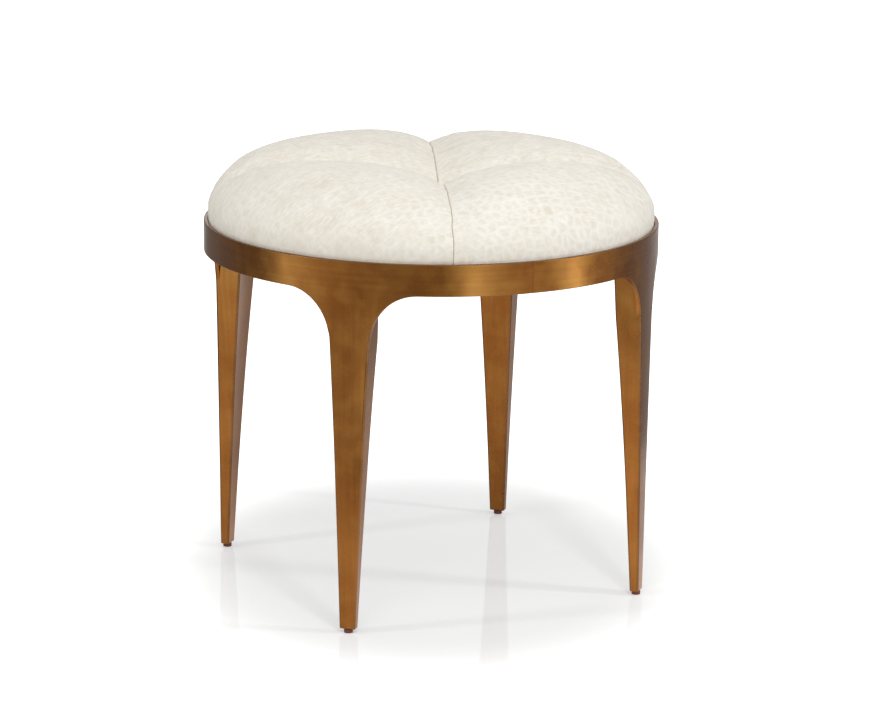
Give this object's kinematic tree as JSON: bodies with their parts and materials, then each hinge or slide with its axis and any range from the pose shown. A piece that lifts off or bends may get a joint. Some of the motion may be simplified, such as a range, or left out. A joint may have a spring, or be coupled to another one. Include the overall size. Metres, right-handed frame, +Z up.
{
  "type": "stool",
  "caption": "Round vanity stool: tapered brass legs flow into an apron ring that holds a crowned seat sewn with a seam cross; screw-in levelling glides.",
  "frame": {"origin": "on the floor at the centre of the apron ring", "axes": "+Z up; the legs stand at the corners between the X and Y axes, and -Y is the front"},
  "size_m": [0.52, 0.52, 0.5001],
  "materials": {
    "cast_brass": "sand cast, brushed along the band and legs, aged to a golden brown with darker edges",
    "zinc_steel": "zinc plated",
    "brown_nylon": "moulded, dark reddish brown",
    "birch_plywood": "sanded, uncoated",
    "seat_foam": "cut and bevelled upholstery foam",
    "ivory_velvet": "ivory velvet with a burnt-out crackle of paler lines",
    "linen_twine": "waxed twine",
    "black_cambric": "thin woven cloth"
  },
  "bodies": {
    "frame": {"leg_casting_back_right": "cast_brass", "seat_bolt_back_right": "zinc_steel", "seat_bolt_washer_back_right": "zinc_steel", "t_nut_back_right": "zinc_steel", "leg_casting_back_left": "cast_brass", "seat_bolt_back_left": "zinc_steel", "seat_bolt_washer_back_left": "zinc_steel", "t_nut_back_left": "zinc_steel", "leg_casting_front_left": "cast_brass", "seat_bolt_front_left": "zinc_steel", "seat_bolt_washer_front_left": "zinc_steel", "t_nut_front_left": "zinc_steel", "leg_casting_front_right": "cast_brass", "seat_bolt_front_right": "zinc_steel", "seat_bolt_washer_front_right": "zinc_steel", "t_nut_front_right": "zinc_steel", "splice_plate_back": "cast_brass", "splice_screw_back_1": "zinc_steel", "splice_screw_back_2": "zinc_steel", "splice_screw_back_3": "zinc_steel", "splice_screw_back_4": "zinc_steel", "splice_plate_left": "cast_brass", "splice_screw_left_1": "zinc_steel", "splice_screw_left_2": "zinc_steel", "splice_screw_left_3": "zinc_steel", "splice_screw_left_4": "zinc_steel", "splice_plate_front": "cast_brass", "splice_screw_front_1": "zinc_steel", "splice_screw_front_2": "zinc_steel", "splice_screw_front_3": "zinc_steel", "splice_screw_front_4": "zinc_steel", "splice_plate_right": "cast_brass", "splice_screw_right_1": "zinc_steel", "splice_screw_right_2": "zinc_steel", "splice_screw_right_3": "zinc_steel", "splice_screw_right_4": "zinc_steel", "seat_deck": "birch_plywood", "seat_foam": "seat_foam", "cover_panel_right": "ivory_velvet", "cover_panel_back": "ivory_velvet", "cover_panel_left": "ivory_velvet", "cover_panel_front": "ivory_velvet", "seat_tie_cord": "linen_twine", "seat_tie_toggle": "brown_nylon", "dust_cover": "black_cambric"},
    "glide_back_right": {"glide_stud_back_right": "zinc_steel", "glide_pad_back_right": "brown_nylon"},
    "glide_back_left": {"glide_stud_back_left": "zinc_steel", "glide_pad_back_left": "brown_nylon"},
    "glide_front_left": {"glide_stud_front_left": "zinc_steel", "glide_pad_front_left": "brown_nylon"},
    "glide_front_right": {"glide_stud_front_right": "zinc_steel", "glide_pad_front_right": "brown_nylon"}
  },
  "joints": [
    {"name": "glide_screw_back_right", "type": "slide", "parent": "frame", "child": "glide_back_right", "axis": [0, 0, -1], "range_m": [0, 0.008]},
    {"name": "glide_screw_back_left", "type": "slide", "parent": "frame", "child": "glide_back_left", "axis": [0, 0, -1], "range_m": [0, 0.008]},
    {"name": "glide_screw_front_left", "type": "slide", "parent": "frame", "child": "glide_front_left", "axis": [0, 0, -1], "range_m": [0, 0.008]},
    {"name": "glide_screw_front_right", "type": "slide", "parent": "frame", "child": "glide_front_right", "axis": [0, 0, -1], "range_m": [0, 0.008]}
  ]
}
